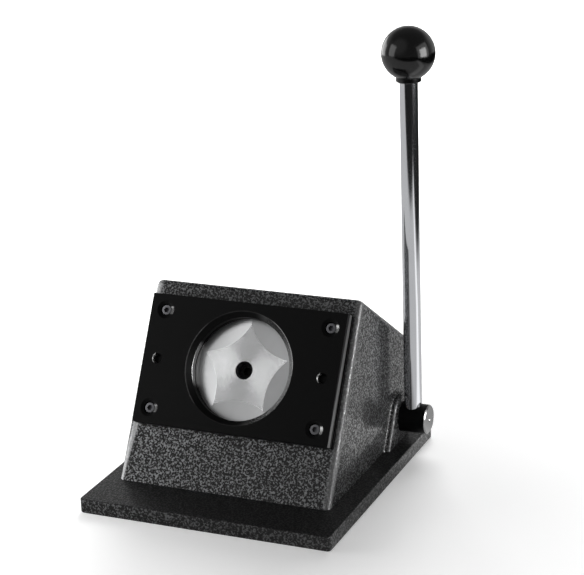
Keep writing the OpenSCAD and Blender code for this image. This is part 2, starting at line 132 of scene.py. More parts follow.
# %% Sums of patterns as plain expressions
class Wire:
    def __init__(self, tree, socket=None):
        self.tree = tree
        self.socket = socket

    def make(self, kind, choices=None, sockets=None, out=0):
        node = self.tree.nodes.new("ShaderNode" + kind)
        for name, value in (choices or {}).items():
            setattr(node, name, value)
        for name, value in (sockets or {}).items():
            if isinstance(value, Wire):
                self.tree.links.new(value.socket, node.inputs[name])
            else:
                node.inputs[name].default_value = value
        return Wire(self.tree, node.outputs[out])

    def math(self, operation, a, b):
        return self.make("Math", {"operation": operation}, {0: a, 1: b})

    def __add__(self, other):
        return self.math("ADD", self, other)

    __radd__ = __add__

    def __sub__(self, other):
        return self.math("SUBTRACT", self, other)

    def __rsub__(self, other):
        return self.math("SUBTRACT", other, self)

    def __mul__(self, other):
        return self.math("MULTIPLY", self, other)

    __rmul__ = __mul__

    def most(self, other):
        return self.math("MAXIMUM", self, other)

    def size(self):
        return self.math("ABSOLUTE", self, 0)

    def between(self, low, high):
        return self.make(
            "MapRange",
            {"interpolation_type": "SMOOTHSTEP"},
            {"Value": self, "From Min": low, "From Max": high},
        )

    def blend(self, a, b):
        return self.make("Mix", {"data_type": "RGBA"}, {0: self, 6: a, 7: b}, out=2)

    def vector(self, operation, a, b=None, c=None, scale=None, out=0):
        sockets = {i: v for i, v in enumerate((a, b, c)) if v is not None}
        if scale is not None:
            sockets["Scale"] = scale
        return self.make("VectorMath", {"operation": operation}, sockets, out)

    def in_mm(self):
        return self.vector("SCALE", self, scale=1 / MM)

    def part(self, axis):
        return self.make("SeparateXYZ", None, {0: self}, out=axis)

    def along(self, axis, origin=None):
        arm = self if origin is None else self.vector("SUBTRACT", self, tuple(origin))
        return self.vector("DOT_PRODUCT", arm, tuple(axis), out="Value")

    def apart(self, other):
        flat = self.make("CombineXYZ", None, {"X": self, "Y": other})
        return self.vector("LENGTH", flat, out="Value")

    def noise(self, scale, detail=2.0, rough=0.5, out="Fac"):
        sockets = {"Vector": self, "Scale": scale, "Detail": detail, "Roughness": rough}
        return self.make("TexNoise", None, sockets, out)

    def bump(self, distance, strength):
        return self.make("Bump", None, {"Height": self, "Distance": distance, "Strength": strength})


def grey(level, tint=0.0):
    return (level * (1 - tint), level, level * (1 + tint), 1)


def new_finish(name, **constants):
    finish = bpy.data.materials.new(name)
    finish.use_nodes = True
    tree = finish.node_tree
    shader = tree.nodes["Principled BSDF"]
    for socket, value in constants.items():
        shader.inputs[socket.replace("_", " ")].default_value = value
    return finish, Wire(tree).make("TexCoord", out="Object"), shader


def feed(shader, **wires):
    for socket, wire in wires.items():
        wire.tree.links.new(wire.socket, shader.inputs[socket.replace("_", " ")])


print("finishes are written with", Wire.__name__)

# %% [markdown]
# The casting and the foot plate wear hammered paint: a dark enamel that gathers into wormy black hollows
# between grey, shiny specks about a millimetre wide. Cells would look like scales, so the pattern is a noise
# whose coordinates are pushed about by a coarser noise. One mask gives the colour, the gloss and the relief,
# so that the specks stand up where they are light. Along the casting's two long front edges and its right lug
# a second mask, the distance from those edges, paints a highlight in a pale metal colour. A third one paints
# shade: it darkens the specks and takes most of the gloss off on the top of the foot plate and on the outside
# of the casting's left front edge. The foot plate's specks are also darker than the casting's, a painted
# shade.


# %% Hammered paint
# painted highlight: pale metal colour along the casting's two long front edges and the right lug's edge
def painted_edge_highlight(at):
    x, z = at.part("X"), at.part("Z")
    face_depth = at.along(OUTWARD, FOOT)
    right = 1 - (HALF_BODY - x).apart(face_depth).between(1.3, 4.2)
    # this line leaves the left edge as it climbs, so the painted highlight fades out
    left_line = (61.3 - 0.13 * z).most(57)
    left = 1 - (left_line + x).apart(face_depth).between(0.9, 2.0)
    lug_depth = LUG_R - at.along(OUTWARD, SHAFT)
    lug_edge = 1 - (HALF_BODY + LUG_OUT - x).apart(lug_depth).between(0.7, 1.8)
    return left.most(right).most(lug_edge)


# painted shade: darker specks and less gloss on the outside of the casting's left front edge
def painted_shade_left_edge(at):
    beside_edge = at.along(OUTWARD, FOOT).between(-6, -3)
    return 0.9 * (1 - at.part("X").between(-60, -58.4)) * beside_edge


# painted shade: darker specks and less gloss on the top of the foot plate
def painted_shade_foot_top(at):
    return 0.6 * at.part("Z").between(FOOT.z - 0.4, FOOT.z - 0.2)


def hammered_paint(name, hollow, speck, painted_shade_places, highlight_places=None):
    paint, where, shader = new_finish(name, Coat_Roughness=0.13, Coat_IOR=1.7, Specular_IOR_Level=0.25)
    drift = where.noise(740, 1.0, out="Color")
    push = (0.8 * MM,) * 3
    pushed = where.vector("MULTIPLY_ADD", drift, push, where)
    worms = pushed.noise(1050, 1.0)
    mask = worms.between(0.46, 0.66)
    haze = where.noise(26)
    at = where.in_mm()
    # painted shade where this mask is high: the specks go dark and the coat thins
    painted_shade = painted_shade_places(at)
    colour = (mask * (1 - painted_shade)).blend(grey(hollow), grey(speck, 0.02))
    if highlight_places:
        # painted highlight: the edges get a pale metal colour
        edge_highlight = highlight_places(at) * (0.7 + 0.3 * mask)
        colour = edge_highlight.blend(colour, grey(0.5, 0.01))
    feed(
        shader,
        Base_Color=colour,
        Roughness=0.55 - 0.1 * mask + 0.06 * haze,
        Metallic=0.1 * mask,
        Coat_Weight=(0.22 + 0.75 * mask + 0.1 * haze) * (1 - painted_shade),
        Normal=(worms + 0.5 * mask).bump(0.0002, 0.5),
    )
    return paint


casting_paint = hammered_paint("casting_paint", 0.002, 0.28, painted_shade_left_edge, painted_edge_highlight)
# the foot plate's specks are darker than the casting's: painted shade
shaded_foot_paint = hammered_paint("shaded_foot_paint", 0.002, 0.095, painted_shade_foot_top)
print("made", casting_paint.name, "and", shaded_foot_paint.name)

# %% [markdown]
# The die plate and the shaft are blackened steel, and so are the pins, the punch's screw and the thin plates
# behind the die: nearly black, satin, with a faint cloudiness and a fine ground grain. The faced right end of
# the shaft was machined after blackening, and one mask turns the same finish into bare steel there. On the
# plate the same mask paints highlights in bare steel colour: the left part of the window's wall, the window's
# rim, stronger on its right, the left side of the pins' holes, a strip along the plate's sides and a glint at
# the right of each screw's mouth. Another mask paints reflections: the right part of the window's chamfer and
# the same patch at each screw's mouth get smoother, dark metal that mirrors the lamps. Both are measured from
# the holes' axes, the plate's edges and along the shaft.


# %% Blackened steel
def black_steel(name, level, rough, places, bare_level):
    steel, where, shader = new_finish(name, Specular_IOR_Level=0.1)
    bare_and_highlight, smooth = places(where.in_mm())
    cloud = where.noise(55, 3.0)
    grit = where.noise(1500)
    colour = cloud.blend(grey(level * 0.75), grey(level * 1.3, 0.03))
    # smooth: a painted reflection in a grey metal colour
    colour = smooth.blend(colour, grey(0.1))
    # bare steel on the shaft's end, and painted highlights in bare steel colour on the plate
    colour = bare_and_highlight.blend(colour, grey(bare_level))
    shine = rough - 0.05 + 0.1 * cloud + 0.06 * (grit - 0.5)
    shine = shine * (1 - bare_and_highlight) + 0.2 * bare_and_highlight - 0.22 * smooth
    feed(shader, Base_Color=colour, Roughness=shine, Metallic=bare_and_highlight + smooth, Normal=grit.bump(0.00002, 0.5))
    return steel


def window_holes_and_highlights(at):
    x, s, depth = (at.along(axis, WINDOW) for axis in (ACROSS, UP_SLOPE, OUTWARD))
    from_window = x.apart(s)
    bore = from_window.between(BORE_R + 0.07, BORE_R + 0.17)
    # the bore's wall is bare only on its left part: a painted highlight
    wall = (1 - bore) * (1 - x.between(-26, -24))
    # the chamfer is smoother metal only on its right part: a painted reflection
    chamfer = (bore - from_window.between(29.8, 29.9)) * x.between(4, 14)
    left = 1 - x.between(-24, -20)
    right = x.between(12, 18) * s.between(-2, 5)
    # painted highlight on the window's rim, faint on the left and strong on the right
    rim_highlight = from_window.between(29.4, 29.7) - from_window.between(29.9, 30.1)
    rim_highlight = rim_highlight * (0.03 + 0.12 * left + 0.5 * right)
    # the painted highlight strip lies a little askew on the plate's sides
    level = depth + 0.034 * s
    strip = level.between(4, 5) - level.between(7.2, 8.2)
    # painted highlight along the plate's sides
    edge = x.size().between(HALF_PLATE - 0.3, HALF_PLATE - 0.1) * strip
    # folded about the middle, all screws are one screw and both pins one pin
    beside = x.size() - SCREW_X
    to_right = x.math("SIGN", x, 0) * beside
    above = s.size() - SCREW_S
    # a painted glint at the right of each screw's mouth, in bare colour and smoother metal
    mouth_glint = (1 - beside.apart(above).between(4.7, 4.9)) * to_right.between(2.2, 3.2)
    mouth_glint = mouth_glint * (1 - above.size().between(1.4, 2.4))
    # the pin holes are bare only on their left side: a painted highlight
    pin = (1 - beside.apart(s).between(2.9, 3.0)) * (1 - to_right.between(-2.0, -1.2))
    return wall + rim_highlight + 0.8 * pin + 0.35 * edge + 0.3 * mouth_glint, mouth_glint + chamfer


def faced_end(at):
    end = at.part("X").between(SHAFT_END - 0.75, SHAFT_END - 0.65)
    return end, end * 0.0


plate_black = black_steel("plate_black", 0.0025, 0.45, window_holes_and_highlights, 0.7)
shaft_black = black_steel("shaft_black", 0.008, 0.33, faced_end, 0.30)
print("made", plate_black.name, shaft_black.name)

# %% [markdown]
# The punch's face was turned on a lathe. Its rings are far finer than a picture shows, but they spread a
# light into two bright fans that stand across the middle. An anisotropic shader could do that, but a file for
# other programs may lose its direction. So the rings are real here: every radius gets a small slope of its
# own, read from a noise along one line, and the surface's direction is tipped by that slope towards or away
# from the middle.


# %% Turned steel of the punch
RINGS_PER_METRE = 40000


def turned_steel(name):
    steel, where, shader = new_finish(name, Metallic=1.0)
    height = where.along(OUTWARD, WINDOW * MM)
    arm = where.vector("SUBTRACT", where, tuple(WINDOW * MM))
    arm = arm.vector("SUBTRACT", arm, height.vector("SCALE", tuple(OUTWARD), scale=height))
    turns = arm.vector("LENGTH", arm, out="Value") * RINGS_PER_METRE
    ring = turns.make("TexNoise", {"noise_dimensions": "1D"}, {"W": turns, "Scale": 1.0, "Detail": 1.0})
    star = height.between((PUNCH_FACE - 0.03) * MM, (PUNCH_FACE - 0.01) * MM)
    slope = (ring - 0.5) * (0.1 + star)
    tip = arm.vector("SCALE", arm.vector("NORMALIZE", arm), scale=slope)
    facing = where.make("NewGeometry", out="Normal")
    cloud = where.noise(120, 3.0)
    hollow_tone = cloud.blend(grey(0.58, 0.005), grey(0.68, 0.01))
    star_tone = cloud.blend(grey(0.70, 0.005), grey(0.80, 0.01))
    feed(
        shader,
        Base_Color=star.blend(hollow_tone, star_tone),
        Roughness=0.34 + 0.06 * cloud - 0.14 * star,
        Normal=facing.vector("NORMALIZE", facing.vector("ADD", facing, tip)),
    )
    return steel


punch_steel = turned_steel("punch_steel")
print("made", punch_steel.name)

# %% [markdown]
# The other metals are plain: plated rod, ground steel, spring wire, bronze bearings, the brass insert and the
# dark steel of screws and clips. One function gives each of them a colour with a slow cloud in it, a
# roughness that varies with a finer one, and a grain that only a close look shows.


# %% Plain metals
def plain_metal(name, colour, rough, change, grain, depth):
    metal, where, shader = new_finish(name, Metallic=1.0)
    cloud = where.noise(40)
    grit = where.noise(grain, 3.0, 0.6)
    darker = tuple(c * 0.86 for c in colour) + (1,)
    feed(
        shader,
        Base_Color=cloud.blend(darker, tuple(colour) + (1,)),
        Roughness=rough + change * (grit - 0.5),
        Normal=grit.bump(depth, 0.4),
    )
    return metal


rod_chrome = plain_metal("rod_chrome", (0.80, 0.81, 0.84), 0.09, 0.05, 900, 0.000004)
ground_steel = plain_metal("ground_steel", (0.58, 0.58, 0.60), 0.3, 0.2, 1400, 0.00002)
spring_wire = plain_metal("spring_wire", (0.40, 0.40, 0.42), 0.32, 0.15, 1100, 0.00002)
bearing_bronze = plain_metal("bearing_bronze", (0.62, 0.42, 0.20), 0.36, 0.2, 800, 0.00004)
insert_brass = plain_metal("insert_brass", (0.78, 0.57, 0.22), 0.28, 0.15, 900, 0.00002)
screw_black = plain_metal("screw_black", (0.16, 0.16, 0.17), 0.36, 0.2, 1800, 0.00002)
metals = (rod_chrome, ground_steel, spring_wire, bearing_bronze, insert_brass, screw_black)
print("made", [metal.name for metal in metals])

# %% [markdown]
# The ball is moulded from black thermoset and polished. Polish is never even, so the roughness drifts a
# little and a very shallow orange peel bends the reflections.


# %% Polished black ball
def polished_black(name):
    plastic, where, shader = new_finish(name, Specular_IOR_Level=0.5)
    peel = where.noise(220, 1.0)
    wear = where.noise(90, 4.0)
    feed(
        shader,
        Base_Color=wear.blend(grey(0.0045), grey(0.008, 0.03)),
        Roughness=0.1 + 0.08 * wear,
        Normal=peel.bump(0.00003, 0.3),
    )
    return plastic


ball_black = polished_black("ball_black")
print("made", ball_black.name)

# %% [markdown]
# Most of the machine was turned on a lathe, so one helper turns a half outline about z. A corner of the
# outline may carry a third number, the radius that takes its sharpness off: real edges are never perfectly
# sharp, and it is these small rounds that catch the light. Rings are joined by hand, so poles close and
# nothing is doubled.


# %% Turning a half outline
def outline(*corners, steps=4):
    points = []
    for i, corner in enumerate(corners):
        here = Vector(corner[:2])
        if len(corner) < 3:
            points.append(here)
            continue
        back = (Vector(corners[i - 1][:2]) - here).normalized()
        ahead = (Vector(corners[(i + 1) % len(corners)][:2]) - here).normalized()
        half = back.angle(ahead) / 2
        middle = here + (back + ahead).normalized() * corner[2] / sin(half)
        first = here + back * corner[2] / tan(half) - middle
        last = here + ahead * corner[2] / tan(half) - middle
        for k in range(steps + 1):
            points.append(middle + first.lerp(last, k / steps).normalized() * corner[2])
    return points


def turned(points, steps=96, ring=False, bm=None):
    bm = bmesh.new() if bm is None else bm
    circles = []
    for r, z in points:
        if r < 1e-6:
            circles.append([bm.verts.new((0, 0, z))] * steps)
            continue
        angles = [2 * pi * k / steps for k in range(steps)]
        circles.append([bm.verts.new((r * cos(a), r * sin(a), z)) for a in angles])
    pairs = list(zip(circles, circles[1:]))
    if ring:
        pairs.append((circles[-1], circles[0]))
    for low, high in pairs:
        for k in range(steps):
            corners = list(dict.fromkeys((low[k - 1], low[k], high[k], high[k - 1])))
            if len(corners) > 2:
                bm.faces.new(corners)
    return bm


def piece_of(name, bm, place=UPRIGHT):
    bmesh.ops.recalc_face_normals(bm, faces=bm.faces[:])
    mesh = bpy.data.meshes.new(name)
    bm.to_mesh(mesh)
    bm.free()
    mesh.transform(place)
    piece = bpy.data.objects.new(name, mesh)
    scene.collection.objects.link(piece)
    return piece


def turned_piece(name, points, place, steps=96, ring=False):
    return piece_of(name, turned(points, steps, ring), place)


print("a rounded corner has", len(outline((0, 0), (1, 0, 0.2), (1, 1))) - 2, "points")

# %% [markdown]
# Castings and plates are first drawn solid and then cut, as in the workshop. Blender's Boolean modifier does
# the cutting, and its exact solver keeps small fits clean. The result is read back as a plain mesh, edges
# that bend sharply are marked, and weighted normals keep the flats flat beside their rounded edges.


# %% Cutting, joining and shading
def settle(piece):
    shape = piece.evaluated_get(bpy.context.evaluated_depsgraph_get())
    mesh = bpy.data.meshes.new_from_object(shape)
    old = piece.data
    piece.modifiers.clear()
    piece.data = mesh
    bpy.data.meshes.remove(old)
    mesh.name = piece.name


def combine(piece, tools, operation):
    for tool in tools:
        step = piece.modifiers.new("step", "BOOLEAN")
        step.operation = operation
        step.solver = "EXACT"
        step.object = tool
    settle(piece)
    for tool in tools:
        bpy.data.meshes.remove(tool.data)


def cut(piece, *tools):
    combine(piece, tools, "DIFFERENCE")


def weld(piece, *tools):
    combine(piece, tools, "UNION")


def shade(piece, degrees=30, even=True):
    bm = bmesh.new()
    bm.from_mesh(piece.data)
    bmesh.ops.remove_doubles(bm, verts=bm.verts[:], dist=1e-7)
    bmesh.ops.holes_fill(bm, edges=[e for e in bm.edges if e.is_boundary], sides=3)
    for face in bm.faces:
        face.smooth = True
    for edge in bm.edges:
        edge.smooth = edge.is_manifold and edge.calc_face_angle(0) < radians(degrees)
    loose = sum(not edge.is_manifold for edge in bm.edges)
    volume = bm.calc_volume(signed=True) / MM**3
    bm.to_mesh(piece.data)
    bm.free()
    if even:
        piece.modifiers.new("even", "WEIGHTED_NORMAL").keep_sharp = True
        settle(piece)
    print(f"{piece.name}: {len(piece.data.polygons)} faces, {loose} open edges, {volume:.1f} mm3")


def hand_over(piece, finish, slot, body, *nodes):
    piece.data.materials.clear()
    piece.data.materials.append(finish)
    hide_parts(*nodes)
    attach(piece, body)


def block(low, high):
    bm = bmesh.new()
    low, high = Vector(low), Vector(high)
    bmesh.ops.create_cube(bm, size=1, matrix=Matrix.LocRotScale((low + high) / 2, None, high - low))
    return bm


def round_edges(bm, edges, radius, steps):
    bmesh.ops.bevel(bm, geom=edges, offset=radius, segments=steps, profile=0.5, affect="EDGES")


print("workshop ready")

# %% [markdown]
# The foot plate is a flat bar of steel, painted like the casting, with four countersunk holes from below.
# They lie under the casting's screw bosses, so the casting's wall and bosses are named here already. The bar
# was filed before painting: the upright corners are rounded and the level edges only broken, so there are two
# bevels.

# %% Foot plate
FOOT_HALF_X = 69.5
FOOT_HALF_Y = 76
CORNER_R = 2.2
BROKEN_EDGE = 0.7
WALL = 8
SCREW_BOSS_R = 7
UNDER_X = HALF_BODY - WALL - SCREW_BOSS_R * 2 / 3
UNDER_Y = (-28, 30.4)
under_places = [(x, y) for x in (-UNDER_X, UNDER_X) for y in UNDER_Y]


def rise(edge):
    return abs(edge.verts[0].co.z - edge.verts[1].co.z)


bm = block((-FOOT_HALF_X, -FOOT_HALF_Y, 0), (FOOT_HALF_X, FOOT_HALF_Y, FOOT.z))
round_edges(bm, [e for e in bm.edges if rise(e) > 1], CORNER_R, 6)
round_edges(bm, [e for e in bm.edges if rise(e) < 1], BROKEN_EDGE, 3)
foot_plate = piece_of("foot_plate", bm)
sink = outline((0, -1), (6.33, -1), (6.33, 0), (3.25, 3.07), (3.25, 9), (0, 9))
cut(foot_plate, *[turned_piece("sink", sink, under(x, y), 48) for x, y in under_places])
shade(foot_plate)
hand_over(foot_plate, shaded_foot_paint, "base_paint", "frame", "base_plate")

# %% [markdown]
# The casting is a hollow wedge. Its outside is a prism with generous cast radii, so a bevel on every edge but
# the lowest ones does it. The left wall stands out a little more than the right one, most at its foot, so the
# prism's left corners are moved before the bevel. Underneath it is open, and it stands on the foot plate.

# %% Casting, outside
CAST_R = 3
LEFT_FOOT = 3
LEFT_RIDGE = 1.2
REAR_Y = 72
FALL = radians(33)
SIDE_UP = Vector((sin(LEAN), cos(LEAN)))
SIDE_FALL = Vector((cos(FALL), -sin(FALL)))
RIDGE = Vector((FOOT.y, FOOT.z)) + 108.5 * SIDE_UP


def meet(p, d, q, e):
    return p + d * ((q - p).cross(e) / d.cross(e))


def side_view(inset, floor):
    front = Vector((FOOT.y, FOOT.z)) + inset * Vector((cos(LEAN), -sin(LEAN)))
    roof = RIDGE - inset * Vector((sin(FALL), cos(FALL)))
    level, plumb = Vector((1, 0)), Vector((0, 1))
    ground, rear = Vector((0, floor)), Vector((REAR_Y - inset, 0))
    return [
        meet(front, SIDE_UP, ground, level),
        meet(front, SIDE_UP, roof, SIDE_FALL),
        meet(roof, SIDE_FALL, rear, plumb),
        meet(rear, plumb, ground, level),
    ]


def prism(points, half):
    bm = bmesh.new()
    left, right = ([bm.verts.new((x, y, z)) for y, z in points] for x in (-half, half))
    bm.faces.new(left)
    bm.faces.new(right)
    for i in range(len(points)):
        bm.faces.new((left[i - 1], left[i], right[i], right[i - 1]))
    return bm


bm = prism(side_view(0, 4), HALF_BODY)
for v in bm.verts:
    if v.co.x < 0:
        v.co.x -= LEFT_FOOT + (LEFT_RIDGE - LEFT_FOOT) * (v.co.z - FOOT.z) / (RIDGE.y - FOOT.z)
round_edges(bm, [e for e in bm.edges if max(v.co.z for v in e.verts) > 5], CAST_R, 6)
casting = piece_of("casting", bm)
print("ridge at", [round(v, 2) for v in RIDGE], "mm in the side view")

# %% [markdown]
# On each side wall a lug carries the shaft. It leans like the front face, has a round top and runs down to
# the foot plate. A plain extrusion would meet the wall in a hard corner, so its outline is drawn in steps
# away from the wall: it starts wide, in the sand mould's fillet, and ends in a rounded rim.

# %% Bearing lugs
FILLET = 1.6
RIM = 1.4


def lug(side):
    ways = [Vector((cos(pi * k / 32), sin(pi * k / 32))) for k in range(33)]
    rim_line = [(way * LUG_R, way) for way in ways]
    for s in (-20, -40):
        rim_line.insert(0, (Vector((LUG_R, s)), Vector((1, 0))))
        rim_line.append((Vector((-LUG_R, s)), Vector((-1, 0))))
    arc = [pi / 2 * k / 5 for k in range(6)]
    levels = [(-4, FILLET)] + [(FILLET * (1 - cos(a)), FILLET * (1 - sin(a))) for a in arc]
    levels += [(LUG_OUT - RIM + RIM * sin(a), RIM * (cos(a) - 1)) for a in arc]
    bm = bmesh.new()
    rows = []
    for away, wider in levels:
        x = side * (HALF_BODY + away)
        rows.append([bm.verts.new((x, p.y + n.y * wider, p.x + n.x * wider)) for p, n in rim_line])
    for low, high in zip(rows, rows[1:]):
        for i in range(len(low)):
            bm.faces.new((low[i - 1], low[i], high[i], high[i - 1]))
    bm.faces.new(rows[0])
    bm.faces.new(rows[-1])
    return piece_of("lug", bm, square_to_face(SHAFT))


weld(casting, lug(-1), lug(1))
print("lugs reach", HALF_BODY + LUG_OUT, "mm from the middle")

# %% [markdown]
# Inside, the casting is a shell with a cup for the punch, a boss for the ram's bush, two ribs and four bosses
# for the screws from below. None of it shows, but the finished piece is used on its own as well, so it is
# made as the foundry would: hollow first, then the inner forms joined on, then everything drilled.

# %% Casting, inside
WELL_FLOOR = -20.85
WELL_R = 28.5
WELL_WALL = 6
RAM_BOSS_R = 21
RAM_BOSS_BACK = -38.21
RAM_BUSH_R = 12.02
SHAFT_BUSH_R = 11.02
SHAFT_BUSH_END = 59.25
SHAFT_HOLE_R = 8.3
RIB = 3
PIN_HOLE_R = 2.52


def rod_shape(r, z0, z1, place=ON_WINDOW, steps=96):
    return turned_piece("tool", [(0, z0), (r, z0), (r, z1), (0, z1)], place, steps)


corner_places = [(x, s) for x in (-SCREW_X, SCREW_X) for s in (-SCREW_S, SCREW_S)]
pin_places = [(x, 0) for x in (-SCREW_X, SCREW_X)]
cut(casting, piece_of("tool", prism(side_view(WALL, 2), HALF_BODY - WALL)))
weld(
    casting,
    piece_of("tool", block((-54, -RIB, RAM_BOSS_BACK + 6), (54, RIB, -6)), ON_WINDOW),
    rod_shape(WELL_R + WELL_WALL, WELL_FLOOR - 4, -1.5),
    rod_shape(RAM_BOSS_R, RAM_BOSS_BACK, WELL_FLOOR - 2),
    *[rod_shape(SCREW_BOSS_R, 2, 23, under(x, y), 48) for x, y in under_places],
)
cut(
    casting,
    piece_of("tool", block((-90, -90, -60), (90, 90, FOOT.z))),
    rod_shape(WELL_R, WELL_FLOOR, 5),
    rod_shape(RAM_BUSH_R, RAM_BOSS_BACK - 1, 0),
    rod_shape(SHAFT_BUSH_R, -SHAFT_BUSH_END, SHAFT_BUSH_END, ON_SHAFT),
    rod_shape(SHAFT_HOLE_R, -64, 64, ON_SHAFT),
    *[rod_shape(3, 7, 20, under(x, y), 32) for x, y in under_places],
    *[rod_shape(1.52, -7.5, 1, at_face(x, s), 32) for x, s in corner_places],
    *[rod_shape(PIN_HOLE_R, -7.5, 1, at_face(x, s), 32) for x, s in pin_places],
)
shade(casting)
hand_over(casting, casting_paint, "housing_paint", "frame", "housing")

# %% [markdown]
# The die plate is a ground block of steel with a round window. The window's wall is the cutting edge, so it
# is sharp below and opens in a wide chamfer above. Four counterbored holes with wide mouths take the screws,
# and two plain ones the locating pins. All of these are turned cutters.

# %% Die plate
DIE_BACK = 3.25
DIE_FRONT = 9.25
HALF_UP = 34.3
bm = block((-HALF_PLATE, -HALF_UP, DIE_BACK), (HALF_PLATE, HALF_UP, DIE_FRONT))
round_edges(bm, bm.edges[:], 0.4, 3)
die_plate = piece_of("window_plate", bm, ON_WINDOW)
wall = [(0, 1), (BORE_R, 1), (BORE_R, 6.45, 0.15)]
chamfer = [(BORE_R + 2.8, DIE_FRONT, 0.5), (BORE_R + 6, DIE_FRONT + 0.35), (0, 12)]
window = outline(*wall, *chamfer)
screw_hole = [(0, 1), (1.75, 1), (1.75, 5.05), (3.1, 5.05), (3.1, 8.5)]
screw_mouth = [(4.8, DIE_FRONT, 0.3), (5.8, 9.5), (0, 12)]
screw_seat = outline(*screw_hole, *screw_mouth)
pin_seat = outline((0, 1), (PIN_HOLE_R, 1), (PIN_HOLE_R, 8.95), (2.9, 9.3), (2.9, 11), (0, 11))
cut(
    die_plate,
    turned_piece("tool", window, ON_WINDOW, 160),
    *[turned_piece("tool", screw_seat, at_face(x, s), 64) for x, s in corner_places],
    *[turned_piece("tool", pin_seat, at_face(x, s), 48) for x, s in pin_places],
)
shade(die_plate)
hand_over(die_plate, plate_black, "black_steel", "frame", "die_plate")

# %% [markdown]
# The punch is a thick disc whose face was ground five times with a large wheel. The five shallow hollows
# leave a star standing between them, one point straight up. Modelling the star's edges by hand would be
# guesswork, so the wheel is modelled instead, a long slab with a hollow-ground belly, and cuts the disc five
# times.

# %% Punch with its ground star
PUNCH_BACK = -12.55
PUNCH_R = 27
WHEEL_R = 315
WHEEL_HALF = 34
WHEEL_REACH = 54
WHEEL_TOP = 14
WHEEL_TILT = radians(5)
BITE_FROM = 0.585 * PUNCH_R
STAR_POINTS = 5
star_punch = rod_shape(PUNCH_R, PUNCH_BACK, PUNCH_FACE, steps=160)
star_punch.name = "star_punch"


def wheel(turn):
    across = range(-WHEEL_HALF, WHEEL_HALF + 1)
    belly = [(y, WHEEL_R - sqrt(WHEEL_R**2 - y * y)) for y in across]
    bm = prism(belly + [(WHEEL_HALF, WHEEL_TOP), (-WHEEL_HALF, WHEEL_TOP)], WHEEL_REACH)
    tilt = Matrix.Translation((BITE_FROM, 0, PUNCH_FACE)) @ Matrix.Rotation(WHEEL_TILT, 4, "Y")
    return piece_of("tool", bm, ON_WINDOW @ Matrix.Rotation(radians(turn), 4, "Z") @ tilt)


screw_bore = [(0, -14), (2.75, -14), (2.75, -8.55), (4.8, -8.55), (4.8, 4), (0, 4)]
cut(
    star_punch,
    *[wheel(54 + 360 / STAR_POINTS * k) for k in range(STAR_POINTS)],
    turned_piece("tool", screw_bore, ON_WINDOW, 64),
)
shade(star_punch, 3, even=False)
hand_over(star_punch, punch_steel, "bright_steel", "punch", "punch")

# %% [markdown]
# Screws and pins repeat, so Geometry Nodes make them. The modifier's own mesh is a half outline. The tree
# turns it round the axis, cuts a hexagon socket into the head where one is wanted, and copies the result onto
# a grid of places. Every set below is the same tree with other numbers.


# %% Tree for turned sets
def new_tree(name, inputs, output):
    tree = bpy.data.node_groups.new(name, "GeometryNodeTree")
    for label, kind in inputs.items():
        tree.interface.new_socket(label, in_out="INPUT", socket_type="NodeSocket" + kind)
    tree.interface.new_socket(output, in_out="OUTPUT", socket_type="NodeSocketGeometry")

    def add(kind, sockets, **choices):
        node = tree.nodes.new(kind)
        for label, value in choices.items():
            setattr(node, label, value)
        for label, value in sockets.items():
            if hasattr(value, "is_output"):
                tree.links.new(value, node.inputs[label])
            else:
                node.inputs[label].default_value = value
        return node.outputs[0] if node.outputs else None

    return tree, tree.nodes.new("NodeGroupInput").outputs, add


def end_tree(add, shape, finish):
    real = add("GeometryNodeRealizeInstances", {"Geometry": shape})
    dressed = add("GeometryNodeSetMaterial", {"Geometry": real, "Material": finish})
    add("NodeGroupOutput", {0: dressed})


def turned_set_tree():
    inputs = {"Outline": "Geometry", "Steps": "Int", "Columns": "Int", "Rows": "Int"}
    inputs.update({"Across": "Float", "Along": "Float", "Socket width": "Float", "Socket depth": "Float"})
    inputs.update({"Has socket": "Bool", "Finish": "Material"})
    tree, given, add = new_tree("turned_set", inputs, "Set")
    half = add("GeometryNodeMeshToCurve", {"Mesh": given["Outline"]})
    path = add("GeometryNodeCurvePrimitiveCircle", {"Resolution": given["Steps"], "Radius": 1e-6})
    path = add("GeometryNodeSetCurveNormal", {"Curve": path}, mode="Z_UP")
    body = add("GeometryNodeCurveToMesh", {"Curve": path, "Profile Curve": half})
    body = add("GeometryNodeMergeByDistance", {"Geometry": body, "Distance": 5e-6})
    corner = add("ShaderNodeMath", {0: given["Socket width"], 1: sqrt(3)}, operation="DIVIDE")
    deep = add("ShaderNodeMath", {0: given["Socket depth"], 1: 2}, operation="MULTIPLY")
    key = add("GeometryNodeMeshCylinder", {"Vertices": 6, "Radius": corner, "Depth": deep})
    bored = add("GeometryNodeMeshBoolean", {0: body, 1: key}, operation="DIFFERENCE", solver="EXACT")
    choice = {"Switch": given["Has socket"], "False": body, "True": bored}
    picked = add("GeometryNodeSwitch", choice, input_type="GEOMETRY")
    grid = {"Size X": "Across", "Size Y": "Along", "Vertices X": "Columns", "Vertices Y": "Rows"}
    places = add("GeometryNodeMeshGrid", {socket: given[label] for socket, label in grid.items()})
    copies = add("GeometryNodeInstanceOnPoints", {"Points": places, "Instance": picked})
    end_tree(add, copies, given["Finish"])
    return tree


turned_tree = turned_set_tree()
print("inputs of the tree:", [s.name for s in turned_tree.interface.items_tree if s.in_out == "INPUT"])

# %% [markdown]
# A tree does nothing by itself: it needs an object with a modifier, and numbers for its inputs. They are set
# by each socket's identifier, since names may change. Once the result is read back as a plain mesh, the
# modifier goes.


